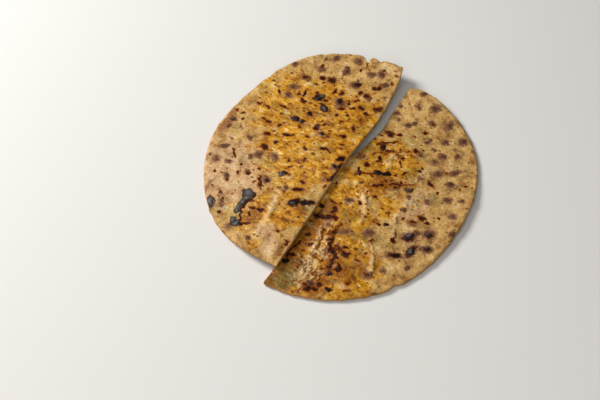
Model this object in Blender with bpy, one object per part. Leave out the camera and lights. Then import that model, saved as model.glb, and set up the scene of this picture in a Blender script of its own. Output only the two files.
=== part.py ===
"""A millet chapati, cut in two across its middle, lying on a flat surface.

The model is in metres, with +Z up and the surface that it lies on at Z = 0. Each half is one solid.
A half has plan axes of its own: u runs along the cut, from the near tip to the far tip, and w runs
square to the cut, out to the round rim. The left half lies with its cut edge over the right half's.
"""

import math
from dataclasses import dataclass

import bmesh
import bpy
from mathutils import Vector, noise

MM = 0.001

# Driving dimensions.
THICKNESS = 3.0 * MM  # of the baked sheet, between its two faces
RIM_DROP = 0.8 * MM  # how far each face turns in at the round rim
RIM_REACH = 2.5 * MM  # how far in from the rim that rounding starts
CUT_DROP = 0.15 * MM  # the same at the cut, which a blade leaves nearly square
SETTLE = 0.6 * MM  # the underside is flat wherever it would be lower than this

# Relief of the upper face.
BLISTER_HEIGHT = 0.5 * MM
BLISTER_SPREAD = 1.3  # a blister's foot, as a share of the scorch mark on its top
SWELL_HEIGHT, SWELL_SIZE = 0.45 * MM, 19.0 * MM
CRAG_HEIGHT, CRAG_SIZE = 0.22 * MM, 5.0 * MM
RAGGED_RIM, RAGGED_SIZE = 0.7 * MM, 6.0 * MM
BLADE_WANDER, BLADE_SIZE = 0.3 * MM, 14.0 * MM

# Cells of the upper face along the cut and from the cut to the rim. The underside has coarser cells.
CELLS_ALONG, CELLS_OUT = 64, 32
UNDERSIDE_STEP = 2
SHARP_ANGLE = math.radians(50)  # edges that turn more than this stay crisp


@dataclass(frozen=True)
class Lift:
    """A broad place where the whole sheet stands off the surface, fading out as a bell curve."""

    u: float
    w: float
    reach_u: float
    reach_w: float
    height: float

    def at(self, u, w):
        fall = ((u - self.u) / self.reach_u) ** 2 + ((w - self.w) / self.reach_w) ** 2
        return self.height * math.exp(-fall)


@dataclass(frozen=True)
class CutBend:
    """A stretch of the cut where the blade strayed from the straight line."""

    u: float
    reach: float
    shift: float

    def at(self, u):
        return self.shift * math.exp(-(((u - self.u) / self.reach) ** 2))


@dataclass(frozen=True)
class Fold:
    """A raised wrinkle in the upper face, along a line through a few points."""

    height: float
    width: float
    line: tuple

    def at(self, u, w):
        spot = Vector((u, w))
        nearest = min(
            distance_to_stretch(spot, Vector(start) * MM, Vector(end) * MM)
            for start, end in zip(self.line, self.line[1:])
        )
        return self.height * math.exp(-((nearest / self.width) ** 2))


@dataclass(frozen=True)
class Notch:
    """A split or a chip in the round rim, at an angle about the middle of the cut, from the far tip."""

    angle: float
    half_width: float
    depth: float

    def at(self, angle):
        return self.depth * math.exp(-(((angle - self.angle) / self.half_width) ** 2))


@dataclass(frozen=True)
class Half:
    """One half of the chapati: where it lies, its outline and the forms on it."""

    name: str
    side: int  # +1 has its round rim to the right of the cut, -1 to the left
    middle: tuple  # the middle of its cut, in plan
    cut_direction: float  # angle of the cut, from +X, in radians
    outline: tuple  # the rim's radius about the middle, as a cosine series
    cut_bends: tuple
    lifts: tuple
    notches: tuple
    folds: tuple
    blisters: tuple  # (u, w, radius), in millimetres
    seed: float
    colour: tuple

    def noise(self, u, w, size, layer):
        """Smooth noise from about -1 to 1, with features of the given size."""
        return noise.noise(Vector((u / size, w / size, self.seed + layer)))

    def rim_radius(self, angle):
        round_form = sum(
            share * math.cos(order * angle) for order, share in enumerate(self.outline)
        )
        along = angle * round_form
        ragged = RAGGED_RIM * self.noise(along, 0, RAGGED_SIZE, 1)
        return round_form + ragged - sum(notch.at(angle) for notch in self.notches)

    def cut_shift(self, u):
        wander = BLADE_WANDER * self.noise(u, 0, BLADE_SIZE, 2)
        return wander + sum(bend.at(u) for bend in self.cut_bends)

    def underside(self, u, w):
        """Height of the lower face: nought where the half rests on the surface."""
        return max(0.0, sum(lift.at(u, w) for lift in self.lifts) - SETTLE)

    def relief(self, u, w):
        """What the upper face adds to an even sheet."""
        height = SWELL_HEIGHT * self.noise(u, w, SWELL_SIZE, 3)
        height += CRAG_HEIGHT * self.noise(u, w, CRAG_SIZE, 4)
        height += sum(fold.at(u, w) for fold in self.folds)
        for centre_u, centre_w, radius in self.blisters:
            foot = radius * MM * BLISTER_SPREAD
            apart = math.hypot(u - centre_u * MM, w - centre_w * MM) / foot
            if apart < 1:
                height += BLISTER_HEIGHT * (1 - apart * apart) ** 2
        return height

    def place(self, u, w, z):
        """A point of the half's own plan, in the shared frame."""
        along = Vector((math.cos(self.cut_direction), math.sin(self.cut_direction)))
        outward = self.side * Vector((along.y, -along.x))
        plan = Vector(self.middle) + u * along + w * outward
        return Vector((plan.x, plan.y, z))


def distance_to_stretch(spot, start, end):
    """Distance from a point to a straight stretch."""
    run = end - start
    share = max(0.0, min(1.0, (spot - start).dot(run) / run.length_squared))
    return (spot - start - share * run).length


def half_disc(x, y):
    """Turns a point of the rectangle -1..1 by 0..1 to a radius and an angle of a half disc.

    The cells of a grid keep nearly even areas, its bottom edge becomes the cut, and its other
    three edges become the rim.
    """
    if y >= abs(x):
        return y, math.pi / 2 - (math.pi / 4) * (x / y if y else 0.0)
    lean = (math.pi / 4) * (y / abs(x))
    return abs(x), lean if x > 0 else math.pi - lean


def rounding(distance, reach, drop):
    """How far a face turns in near an edge, as a quarter round."""
    near = max(0.0, 1 - distance / reach)
    return drop * (1 - math.sqrt(1 - near * near))


def add_face(mesh, half, cells_along, cells_out, upper):
    """Adds the upper or the lower face of a half to the mesh, as a grid shaped to its outline."""
    made = bmesh.ops.create_grid(
        mesh, x_segments=cells_along, y_segments=cells_out, size=1.0
    )
    for vertex in made["verts"]:
        x, y = vertex.co.x, (vertex.co.y + 1) / 2
        share, angle = half_disc(x, y)
        radius = half.rim_radius(angle)
        u = share * radius * math.cos(angle)
        w = share * radius * math.sin(angle)
        from_cut = w
        w += half.cut_shift(u) * (1 - y) ** 2
        turn_in = rounding(radius * (1 - share), RIM_REACH, RIM_DROP)
        turn_in = max(turn_in, rounding(from_cut, RIM_REACH, CUT_DROP))
        z = half.underside(u, w)
        if upper:
            z += THICKNESS + half.relief(u, w) - turn_in
        else:
            z += turn_in
        vertex.co = half.place(u, w, z)


def build_half(half):
    """Makes one half as a closed solid, its faces joined by the wall of the rim and the cut."""
    mesh = bmesh.new()
    add_face(mesh, half, CELLS_ALONG, CELLS_OUT, upper=True)
    add_face(
        mesh,
        half,
        CELLS_ALONG // UNDERSIDE_STEP,
        CELLS_OUT // UNDERSIDE_STEP,
        upper=False,
    )
    rims = [edge for edge in mesh.edges if edge.is_boundary]
    bmesh.ops.bridge_loops(mesh, edges=rims)
    bmesh.ops.triangulate(mesh, faces=mesh.faces[:])
    bmesh.ops.recalc_face_normals(mesh, faces=mesh.faces[:])
    data = bpy.data.meshes.new(half.name)
    mesh.to_mesh(data)
    mesh.free()
    data.shade_smooth()
    data.set_sharp_from_angle(angle=SHARP_ANGLE)
    data.materials.append(baked_dough(half))
    piece = bpy.data.objects.new(half.name, data)
    bpy.context.scene.collection.objects.link(piece)


def baked_dough(half):
    """A plain stand-in for the griddled crust, in the half's mean colour."""
    material = bpy.data.materials.new(f"{half.name}_crust")
    material.use_nodes = True
    shader = material.node_tree.nodes["Principled BSDF"]
    shader.inputs["Base Color"].default_value = (*half.colour, 1.0)
    shader.inputs["Roughness"].default_value = 0.55
    shader.inputs["Metallic"].default_value = 0.0
    return material


LEFT_HALF = Half(
    name="left_half",
    side=-1,
    middle=(3.3 * MM, 2.7 * MM),
    cut_direction=math.radians(61.9),
    outline=(99.0 * MM, 1.6 * MM, 1.8 * MM, -0.8 * MM, -1.6 * MM, -1.1 * MM, -1.1 * MM),
    cut_bends=(
        CutBend(u=45 * MM, reach=32 * MM, shift=-3.2 * MM),
        CutBend(u=102 * MM, reach=12 * MM, shift=3.4 * MM),
    ),
    lifts=(
        Lift(u=0, w=0, reach_u=250 * MM, reach_w=46 * MM, height=4.8 * MM),
        Lift(u=10 * MM, w=0, reach_u=48 * MM, reach_w=45 * MM, height=2.8 * MM),
        Lift(u=-95 * MM, w=0, reach_u=45 * MM, reach_w=40 * MM, height=1.0 * MM),
        Lift(u=112 * MM, w=20 * MM, reach_u=42 * MM, reach_w=60 * MM, height=6.0 * MM),
        Lift(u=72 * MM, w=84 * MM, reach_u=46 * MM, reach_w=34 * MM, height=6.2 * MM),
    ),
    notches=(
        Notch(angle=math.radians(16.9), half_width=math.radians(1.3), depth=5.0 * MM),
        Notch(angle=math.radians(11.2), half_width=math.radians(1.3), depth=2.4 * MM),
    ),
    folds=(Fold(height=0.6 * MM, width=2.4 * MM, line=((-40, 27), (-80, 24))),),
    blisters=(
        (86, 51, 3.2),
        (90, 34, 3.2),
        (77, 38, 4.0),
        (71, 56, 3.6),
        (69, 24, 4.0),
        (87, 15, 3.4),
        (73, 9, 4.2),
        (61, 12, 3.0),
        (57, 61, 3.8),
        (63, 44, 3.0),
        (45, 43, 4.2),
        (47, 28, 4.4),
        (37, 34, 3.2),
        (42, 55, 3.0),
        (45, 64, 3.0),
        (17, 46, 3.0),
        (14, 25, 2.8),
        (-1, 4, 3.2),
        (-14, 67, 3.0),
        (-15, 54, 3.2),
        (-28, 79, 3.0),
        (-24, 56, 3.4),
        (-30, 31, 3.6),
        (-42, 39, 4.0),
        (-50, 12, 5.0),
        (-57, 43, 4.8),
        (-82, 41, 4.4),
        (-75, 60, 4.0),
    ),
    seed=11.0,
    colour=(0.44, 0.27, 0.11),
)

RIGHT_HALF = Half(
    name="right_half",
    side=1,
    middle=(0.5 * MM, -9.5 * MM),
    cut_direction=math.radians(58.7),
    outline=(94.4 * MM, 0.7 * MM, 6.5 * MM, 0.3 * MM, -0.7 * MM),
    cut_bends=(
        CutBend(u=-20 * MM, reach=36 * MM, shift=-5.0 * MM),
        CutBend(u=16 * MM, reach=12 * MM, shift=-2.2 * MM),
        CutBend(u=52 * MM, reach=14 * MM, shift=1.8 * MM),
    ),
    lifts=(
        Lift(u=10 * MM, w=0, reach_u=48 * MM, reach_w=55 * MM, height=3.5 * MM),
        Lift(u=20 * MM, w=95 * MM, reach_u=45 * MM, reach_w=18 * MM, height=2.7 * MM),
        Lift(u=104 * MM, w=14 * MM, reach_u=24 * MM, reach_w=30 * MM, height=4.4 * MM),
        Lift(u=-55 * MM, w=38 * MM, reach_u=22 * MM, reach_w=15 * MM, height=1.4 * MM),
    ),
    notches=(
        Notch(angle=0.0, half_width=math.radians(2.2), depth=3.2 * MM),
        Notch(angle=math.radians(129), half_width=math.radians(1.6), depth=1.4 * MM),
    ),
    folds=(
        Fold(
            height=1.1 * MM,
            width=2.2 * MM,
            line=((-1, 16), (-15, 23), (-31, 29), (-42, 42), (-58, 55)),
        ),
        Fold(height=0.8 * MM, width=4.0 * MM, line=((5, 48), (-38, 52))),
        Fold(height=0.9 * MM, width=2.2 * MM, line=((-42, 8), (-49, 14), (-57, 13))),
        Fold(height=0.8 * MM, width=3.5 * MM, line=((-62, 14), (-72, 17), (-90, 12))),
        Fold(height=0.7 * MM, width=2.2 * MM, line=((44, 6), (40, 18), (28, 25))),
    ),
    blisters=(
        (89, 25, 4.0),
        (79, 40, 4.2),
        (74, 29, 3.0),
        (67, 17, 3.6),
        (71, 56, 4.2),
        (64, 45, 3.2),
        (56, 60, 3.4),
        (50, 49, 3.4),
        (42, 62, 3.8),
        (36, 54, 4.0),
        (30, 66, 3.0),
        (18, 69, 3.4),
        (12, 58, 3.0),
        (7, 79, 3.6),
        (-11, 59, 3.4),
        (-14, 72, 4.4),
        (-22, 62, 4.4),
        (-26, 77, 3.4),
        (-32, 68, 5.0),
        (-41, 59, 4.4),
        (-63, 53, 3.4),
        (15, 44, 3.6),
        (17, 21, 4.0),
        (37, 9, 3.8),
        (51, 7, 3.4),
        (-35, 12, 4.5),
        (-47, 20, 4.5),
        (-58, 26, 5.0),
        (-72, 31, 4.5),
        (-88, 24, 4.5),
    ),
    seed=37.0,
    colour=(0.41, 0.25, 0.10),
)


def main():
    for leftover in list(bpy.data.objects):
        bpy.data.objects.remove(leftover)
    for half in (LEFT_HALF, RIGHT_HALF):
        build_half(half)


main()
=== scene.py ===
"""The looks of a griddled millet chapati, buttered and cut in two across its middle.

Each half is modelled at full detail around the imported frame, in metres, with +Z up and the surface
that the bread lies on at Z = 0. A half has plan axes of its own: u runs along the cut from the near
tip to the far tip, and w runs square to the cut, out to the round rim. Marks, folds and buttered
places are listed in millimetres on those two axes.
"""

import logging
import math
from dataclasses import dataclass
from enum import Enum

import bmesh
import bpy
import numpy as np
from mathutils import Matrix, Vector, noise


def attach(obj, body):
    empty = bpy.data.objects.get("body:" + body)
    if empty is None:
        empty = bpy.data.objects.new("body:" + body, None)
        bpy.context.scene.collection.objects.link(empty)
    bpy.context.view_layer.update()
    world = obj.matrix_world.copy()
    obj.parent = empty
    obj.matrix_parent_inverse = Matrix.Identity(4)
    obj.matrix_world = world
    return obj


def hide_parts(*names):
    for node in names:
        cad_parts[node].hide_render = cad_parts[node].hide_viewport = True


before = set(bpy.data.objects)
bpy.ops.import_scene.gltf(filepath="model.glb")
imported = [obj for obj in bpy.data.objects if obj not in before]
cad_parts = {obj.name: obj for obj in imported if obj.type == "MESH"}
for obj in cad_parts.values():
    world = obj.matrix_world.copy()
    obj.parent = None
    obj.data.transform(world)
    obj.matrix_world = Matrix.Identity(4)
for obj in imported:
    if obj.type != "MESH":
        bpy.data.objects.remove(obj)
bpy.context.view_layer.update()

MM = 0.001
NO_MARK = 4.0  # the reach of a place that no mark is near
Field = np.ndarray  # one number for each vertex of a mesh
Input = float | bpy.types.Node | bpy.types.NodeSocket  # what a node's input takes
log = logging.getLogger("chapati")


class Look(Enum):
    """What a place on the crust is like, each kept as an attribute of the mesh.

    The marks, SOFT to SLATE, are kept as the distance from the nearest mark's middle, as a share of
    its radius and at most NO_MARK. The others are kept as a share from 0 to 1.
    """

    PALE = "pale"  # floury dough that the griddle barely coloured
    GHEE = "ghee"  # soaked with ghee, golden and glossy
    AMBER = "amber"  # ghee that browned in a hollow; partly painted shade, in the butter's wrinkles and over the right half's near end
    BUTTER = "butter"  # dried, wrinkled butter on top; its cream on the crests of the wrinkles and the folds is partly a painted highlight
    TOAST = "toast"  # an evenly toasted, reddish stretch
    HERB = "herb"  # stained olive by chopped herbs under the skin; at the right half's near corner partly painted shade
    SOFT = "soft"  # a purple-brown spot where the dough touched the iron
    BROWN = "brown"  # a crisp dark brown spot
    CHAR = "char"  # a charred blister
    SLATE = "slate"  # a grey, ashy scorch; over a charred blister, a painted bluish sheen
    CRUMB = "crumb"  # the inside of the dough, at the cut
    RIM = "rim"  # the toasted wall of the round rim
    UNDER = "under"  # the dry lower face


class Side(Enum):
    """Which side of the cut a half's round rim is on, as the sign of its w axis."""

    LEFT = -1
    RIGHT = 1


def linear(hex_colour: str) -> tuple[float, float, float, float]:
    """Turns a colour from sRGB to linear.

    Args:
        hex_colour: The colour as six hexadecimal digits after a #.

    Returns:
        Its linear red, green and blue, and an alpha of 1.
    """
    shares = [int(hex_colour[place : place + 2], 16) / 255 for place in (1, 3, 5)]
    red, green, blue = (
        share / 12.92 if share <= 0.04045 else ((share + 0.055) / 1.055) ** 2.4
        for share in shares
    )
    return red, green, blue, 1.0


def ramp(value: Field, start: float, end: float) -> Field:
    """Turns values to a smooth rise from 0 to 1.

    Args:
        value: The values.
        start: The value that becomes 0.
        end: The value that becomes 1. It may be the lower of the two.

    Returns:
        The shares from 0 to 1.
    """
    share = np.clip((value - start) / (end - start), 0.0, 1.0)
    return share * share * (3.0 - 2.0 * share)


def noise_over(u: Field, w: Field, size: float, layer: float) -> Field:
    """Smooth noise from about -1 to 1.

    Args:
        u: Places along the first axis, in metres.
        w: Places along the second axis.
        size: The size of the noise's features.
        layer: A number that sets one pattern apart from another.

    Returns:
        The noise at each place.
    """
    return np.array([noise.noise((a, b, layer)) for a, b in zip(u / size, w / size)])


def distance_to_line(u: Field, w: Field, line: tuple) -> Field:
    """Distance from each place to a line of straight stretches.

    Args:
        u: Places along the cut, in metres.
        w: Places out from the cut.
        line: The line's points, as (u, w) in millimetres.

    Returns:
        The distances, in metres.
    """
    nearest = np.full(u.shape, np.inf)
    for start, end in zip(line, line[1:]):
        begin = np.array(start) * MM
        run = np.array(end) * MM - begin
        share = ((u - begin[0]) * run[0] + (w - begin[1]) * run[1]) / (run @ run)
        share = np.clip(share, 0.0, 1.0)
        apart = np.hypot(u - begin[0] - share * run[0], w - begin[1] - share * run[1])
        nearest = np.minimum(nearest, apart)
    return nearest


@dataclass(frozen=True)
class Bell:
    """A broad place on a half that fades out as a bell curve, with its sizes in millimetres.

    For a lift of the whole sheet the height is in millimetres, and for a look it is a share.
    """

    u: float
    w: float
    reach_u: float
    reach_w: float
    height: float

    def at(self, u: Field, w: Field) -> Field:
        """Works out the bell's height.

        Args:
            u: Places along the cut, in metres.
            w: Places out from the cut.

        Returns:
            The height at each place, in the unit of the bell's own height.
        """
        off_u = (u / MM - self.u) / self.reach_u
        off_w = (w / MM - self.w) / self.reach_w
        return self.height * np.exp(-(off_u**2) - off_w**2)


@dataclass(frozen=True)
class CutBend:
    """A stretch of the cut where the blade strayed from the straight line, in millimetres."""

    u: float
    reach: float
    shift: float

    def at(self, u: Field) -> Field:
        """How far out the cut is shifted at each place, in metres."""
        return self.shift * MM * np.exp(-(((u / MM - self.u) / self.reach) ** 2))


@dataclass(frozen=True)
class Notch:
    """A split or a chip in the round rim, by its angle from the far tip in degrees."""

    angle: float
    half_width: float
    depth: float

    def at(self, angle: Field) -> Field:
        """How far in the rim is cut at each angle, in metres."""
        apart = (np.degrees(angle) - self.angle) / self.half_width
        return self.depth * MM * np.exp(-(apart**2))


@dataclass(frozen=True)
class Fold:
    """A raised wrinkle, or with a height below nought a crack, along a line, in millimetres."""

    height: float
    width: float
    line: tuple

    def at(self, u: Field, w: Field) -> Field:
        """What the fold adds to the upper face at each place, in metres."""
        apart = distance_to_line(u, w, self.line) / (self.width * MM)
        return self.height * MM * np.exp(-(apart**2))

    def crest(self, u: Field, w: Field) -> Field:
        """How much of the fold's crest each place is, from 0 to 1, and nought for a crack."""
        apart = distance_to_line(u, w, self.line) / (0.6 * self.width * MM)
        return (self.height > 0) * np.exp(-(apart**2))


@dataclass(frozen=True)
class Scorch:
    """An oval mark from the griddle, with its sizes in millimetres.

    The long axis of a stretched mark leans away from the cut by the given degrees, so that at 90 it
    runs straight out to the rim. A faint mark, from 0 to 1, has no dark middle.
    """

    u: float
    w: float
    radius: float
    stretch: float = 1.0
    lean: float = 90.0
    faint: float = 0.0

    def reach(self, u: Field, w: Field) -> Field:
        """Works out how far the mark reaches.

        Args:
            u: Places along the cut, in metres.
            w: Places out from the cut.

        Returns:
            Distance of each place from the mark's middle, as a share of its radius.
        """
        turn = math.radians(self.lean)
        off_u, off_w = u / MM - self.u, w / MM - self.w
        along = off_u * math.cos(turn) + off_w * math.sin(turn)
        across = off_w * math.cos(turn) - off_u * math.sin(turn)
        apart = np.hypot(along / (self.radius * self.stretch), across / self.radius)
        return self.faint + (1.0 - 0.5 * self.faint) * apart


@dataclass(frozen=True)
class Trail:
    """A dark line, with its sizes in millimetres: mostly a browned streak, and in a few places painted
    shade in a crack or the painted shadow along the cut.
    """

    width: float
    line: tuple
    faint: float = 0.0

    def reach(self, u: Field, w: Field) -> Field:
        """Works out how far the line's colour reaches, with an uneven edge.

        Args:
            u: Places along the cut, in metres.
            w: Places out from the cut.

        Returns:
            Distance of each place from the line, as a share of its width.
        """
        apart = distance_to_line(u, w, self.line) / (self.width * MM)
        apart *= 1.2 + 1.1 * noise_over(u, w, 2.6 * MM, 5.0)
        return self.faint + (1.0 - 0.5 * self.faint) * apart


def scorches(*entries: tuple, faint: float = 0.0) -> tuple[Scorch, ...]:
    """Makes scorch marks, each from its u, w and radius, and its stretch and lean if it has them."""
    return tuple(Scorch(*entry, faint=faint) for entry in entries)


def nearest_reach(marks: tuple, u: Field, w: Field) -> Field:
    """Finds the nearest of a half's marks.

    Args:
        marks: The marks.
        u: Places along the cut, in metres.
        w: Places out from the cut.

    Returns:
        The reach of the nearest mark at each place, at most NO_MARK.
    """
    nearest = np.full(u.shape, NO_MARK)
    for mark in marks:
        nearest = np.minimum(nearest, mark.reach(u, w))
    return nearest


@dataclass
class ChapatiHalf:
    """One half of the chapati: a thin baked sheet with a round rim and a straight cut.

    Lengths are in metres, and those of the forms and marks in the lists are in millimetres. Each
    noise has a layer of its own, counted from the half's seed.
    """

    name: str
    node: str
    side: Side
    middle: tuple[float, float]
    cut_direction: float
    outline: tuple[float, ...]
    seed: float
    cut_bends: tuple[CutBend, ...]
    lifts: tuple[Bell, ...]
    notches: tuple[Notch, ...]
    folds: tuple[Fold, ...]
    marks: dict[Look, tuple]
    washes: dict[Look, tuple[Bell, ...]]

    thickness: float = 3.0 * MM
    rim_drop: float = 0.8 * MM
    rim_reach: float = 2.5 * MM
    cut_drop: float = 0.15 * MM
    cut_reach: float = 0.6 * MM
    settle: float = 0.6 * MM  # how much of every lift the bread's weight takes back
    bulge: float = 0.35 * MM  # how far the rim's wall swells out
    rim_ragged: float = 0.7 * MM
    ragged_size: float = 6.0 * MM
    cut_wander: float = 0.3 * MM
    wander_size: float = 14.0 * MM
    warps: tuple = ((1.3, 3.0, 0), (0.6, 1.2, 1))  # reach, size and layer
    wash_edges: tuple = ((1.0, 9.0, 21), (0.6, 3.0, 22))  # weight, size and layer
    swells: tuple = ((0.45, 19.0, 3), (0.22, 5.0, 4), (0.12, 1.5, 7))  # height, size and layer
    fold_break: float = 5.5 * MM  # the length over which a fold's height comes and goes
    blister_height: float = 0.5 * MM
    blister_foot: float = 1.3  # how far a blister reaches, as a share of its mark's radius
    smear_height: float = 0.2 * MM
    smear_size: float = 3.4 * MM
    butter_height: float = 0.5 * MM
    wrinkle_size: float = 2.8 * MM
    hollow_depth: float = 0.3 * MM
    hollow_size: float = 7.0 * MM
    crumb_height: float = 0.3 * MM
    crumb_size: float = 1.1 * MM
    cells: int = 400
    underside_cells: int = 120
    wall_rows: int = 5

    def rim_radius(self, angle: Field) -> Field:
        """Distance of the round rim from the middle of the cut.

        Args:
            angle: Angles about that middle, from the far tip, in radians.

        Returns:
            The distance at each angle.
        """
        waves = (share * MM * np.cos(order * angle) for order, share in enumerate(self.outline))
        radius = sum(waves)
        ragged = noise_over(angle * radius, 0 * angle, self.ragged_size, self.seed + 1)
        radius += self.rim_ragged * ragged
        return radius - sum(notch.at(angle) for notch in self.notches)

    def cut_shift(self, u: Field) -> Field:
        """How far out the cut strays from its straight line at each place along it."""
        wander = self.cut_wander * noise_over(u, 0 * u, self.wander_size, self.seed + 2)
        return wander + sum(bend.at(u) for bend in self.cut_bends)

    def underside(self, u: Field, w: Field) -> Field:
        """Height of the lower face at each place, nought where the half rests on the surface."""
        return np.maximum(0.0, MM * sum(lift.at(u, w) for lift in self.lifts) - self.settle)

    def warped(self, u: Field, w: Field) -> tuple[Field, Field]:
        """Shifts places a little by noise, so that round marks get uneven edges.

        Args:
            u: Places along the cut, in metres.
            w: Places out from the cut.

        Returns:
            The shifted places along the cut and out from it.
        """
        shifted = []
        for place, first in ((u, 11), (w, 13)):
            for reach, size, layer in self.warps:
                shift = noise_over(u, 0.7 * w, size * MM, self.seed + first + layer)
                place = place + reach * MM * shift
            shifted.append(place)
        return shifted[0], shifted[1]

    def wash(self, look: Look, u: Field, w: Field) -> Field:
        """Works out a broad look, with an uneven edge.

        Args:
            look: Which look it is.
            u: Places along the cut, in metres.
            w: Places out from the cut.

        Returns:
            How much of the look each place has, from 0 to 1.
        """
        total = sum((bell.at(u, w) for bell in self.washes.get(look, ())), 0 * u)
        edge = sum(
            weight * noise_over(u, w, size * MM, self.seed + layer)
            for weight, size, layer in self.wash_edges
        )
        return ramp(total + 0.5 * edge, 0.2, 0.8) * np.minimum(1.0, total * 3.0)

    def wrinkles(self, u: Field, w: Field) -> Field:
        """The wrinkles of the dried butter at each place: 1 on a crest, and below 0 in a hollow."""
        bump_u, bump_w = self.warped(u, w)
        return 1.0 - 3.0 * np.abs(noise_over(0.5 * bump_u, bump_w, self.wrinkle_size, self.seed + 6))

    def relief(self, u: Field, w: Field) -> Field:
        """Works out the upper face's low relief: swells, folds, blisters and wrinkles.

        Args:
            u: Places along the cut, in metres.
            w: Places out from the cut.

        Returns:
            What the face adds to an even sheet at each place, in metres.
        """
        height = sum(
            high * MM * noise_over(u, w, size * MM, self.seed + layer)
            for high, size, layer in self.swells
        )
        bump_u, bump_w = self.warped(u, w)
        swell = 1.0 + 1.2 * noise_over(u, w, self.fold_break, self.seed + 10)
        height += swell * sum(fold.at(bump_u, bump_w) for fold in self.folds)
        for look in (Look.SOFT, Look.CHAR, Look.SLATE):
            foot = nearest_reach(self.marks[look], bump_u, bump_w) / self.blister_foot
            height += self.blister_height * np.maximum(0.0, 1.0 - foot**2) ** 2
        smears = 1.0 - 2.4 * np.abs(noise_over(u, w * 0.6, self.smear_size, self.seed + 5))
        height += self.smear_height * smears * (0.35 + self.wash(Look.GHEE, u, w))
        height += self.butter_height * self.wrinkles(u, w) * self.wash(Look.BUTTER, u, w)
        return height

    def half_disc(self, x: Field, y: Field) -> tuple[Field, Field]:
        """Bends a rectangle into a half disc, with cells of nearly even area.

        Args:
            x: Places along the rectangle, from -1 to 1.
            y: Places across it, from 0 at the cut to 1.

        Returns:
            The share of the rim's radius, and the angle from the far tip.
        """
        reach = np.maximum(np.abs(x), y)
        safe = np.where(reach > 0, reach, 1.0)
        crosswise = math.pi / 2 - (math.pi / 4) * x / safe
        lean = (math.pi / 4) * y / safe
        lengthwise = np.where(x > 0, lean, math.pi - lean)
        return reach, np.where(y >= np.abs(x), crosswise, lengthwise)

    def turn_in(self, from_rim: Field, from_cut: Field) -> Field:
        """Rounds a face's edges.

        Args:
            from_rim: Distance of each place from the round rim.
            from_cut: Its distance from the cut.

        Returns:
            How far the face turns in at each place.
        """
        rim = np.clip(1.0 - from_rim / self.rim_reach, 0.0, 1.0)
        cut = np.clip(1.0 - from_cut / self.cut_reach, 0.0, 1.0)
        return np.maximum(
            self.rim_drop * (1.0 - np.sqrt(1.0 - rim**2)),
            self.cut_drop * (1.0 - np.sqrt(1.0 - cut**2)),
        )

    def place(self, u: Field, w: Field, z: Field) -> Field:
        """Turns places of the half's own plan to the shared frame.

        Args:
            u: Places along the cut, in metres.
            w: Places out from the cut.
            z: Heights.

        Returns:
            The points, one in each row.
        """
        along = np.array((math.cos(self.cut_direction), math.sin(self.cut_direction)))
        outward = self.side.value * np.array((along[1], -along[0]))
        plan = np.array(self.middle) + np.outer(u, along) + np.outer(w, outward)
        return np.column_stack((plan, z))

    def store(self, mesh: bmesh.types.BMesh, verts: list, **columns: Field) -> None:
        """Keeps numbers with vertices.

        Args:
            mesh: The mesh that the vertices are in.
            verts: The vertices.
            **columns: A number for each vertex, by the name of the layer that takes it.
        """
        for name, column in columns.items():
            layer = mesh.verts.layers.float[name]
            for vert, value in zip(verts, column):
                vert[layer] = value

    def add_face(self, mesh: bmesh.types.BMesh, cells: int, upper: bool) -> None:
        """Adds the upper or the lower face, as a grid bent to the half's outline.

        Args:
            mesh: The mesh to add it to.
            cells: How many cells the grid has along the cut.
            upper: Whether it is the upper face.
        """
        made = bmesh.ops.create_grid(mesh, x_segments=cells, y_segments=cells // 2, size=1.0)
        verts = made["verts"]
        x = np.array([vert.co.x for vert in verts])
        y = (np.array([vert.co.y for vert in verts]) + 1.0) / 2.0
        share, angle = self.half_disc(x, y)
        radius = self.rim_radius(angle) - self.bulge
        u = share * radius * np.cos(angle)
        from_cut = share * radius * np.sin(angle)
        w = from_cut + self.cut_shift(u) * (1.0 - y) ** 2
        turned = self.turn_in(radius * (1.0 - share), from_cut)
        z = self.underside(u, w)
        if upper:
            z = z + self.thickness + self.relief(u, w) - turned
        else:
            hollows = np.maximum(0.0, noise_over(u, w, self.hollow_size, self.seed + 8))
            z = z + turned + self.hollow_depth * hollows
        depth = np.full(u.shape, 0.0 if upper else 1.0)
        at_cut = np.where(y < 1e-6, 1.0, 0.0)
        self.store(mesh, verts, along=u, out=w, depth=depth, lip=z, at_cut=at_cut)
        for vert, point in zip(verts, self.place(u, w, z)):
            vert.co = point

    def add_wall(self, mesh: bmesh.types.BMesh) -> None:
        """Joins the two faces by the wall of the rim and the cut, rounded and a little crumbly.

        Args:
            mesh: The mesh that has both faces.
        """
        layers = mesh.verts.layers.float
        ring = [edge for edge in mesh.edges if edge.is_boundary]
        ring = [edge for edge in ring if edge.verts[0][layers["depth"]] < 0.5]
        for row in range(1, self.wall_rows + 1):
            made = bmesh.ops.extrude_edge_only(mesh, edges=ring)["geom"]
            ring = [part for part in made if isinstance(part, bmesh.types.BMEdge)]
            verts = [part for part in made if isinstance(part, bmesh.types.BMVert)]
            u, w, upper, at_cut = (
                np.array([vert[layers[name]] for vert in verts])
                for name in ("along", "out", "lip", "at_cut")
            )
            share = row / (self.wall_rows + 1)
            drop = np.where(at_cut > 0.5, self.cut_drop, self.rim_drop)
            lower = self.underside(u, w) + drop
            z = upper + (lower - upper) * share
            rough = noise_over(u + 3 * z, w - 2 * z, self.crumb_size, self.seed + 9)
            swell = self.bulge * math.sin(math.pi * share) * (1.0 - at_cut)
            from_middle = np.maximum(np.hypot(u, w), MM)
            grow = 1.0 + swell * (0.75 + 0.5 * rough) / from_middle
            crumbled = at_cut * self.crumb_height * (0.5 + rough)
            self.store(mesh, verts, depth=np.full(u.shape, share))
            for vert, point in zip(verts, self.place(u * grow, w * grow + crumbled, z)):
                vert.co = point
        rims = [edge for edge in mesh.edges if edge.is_boundary]
        bmesh.ops.bridge_loops(mesh, edges=rims)

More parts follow.
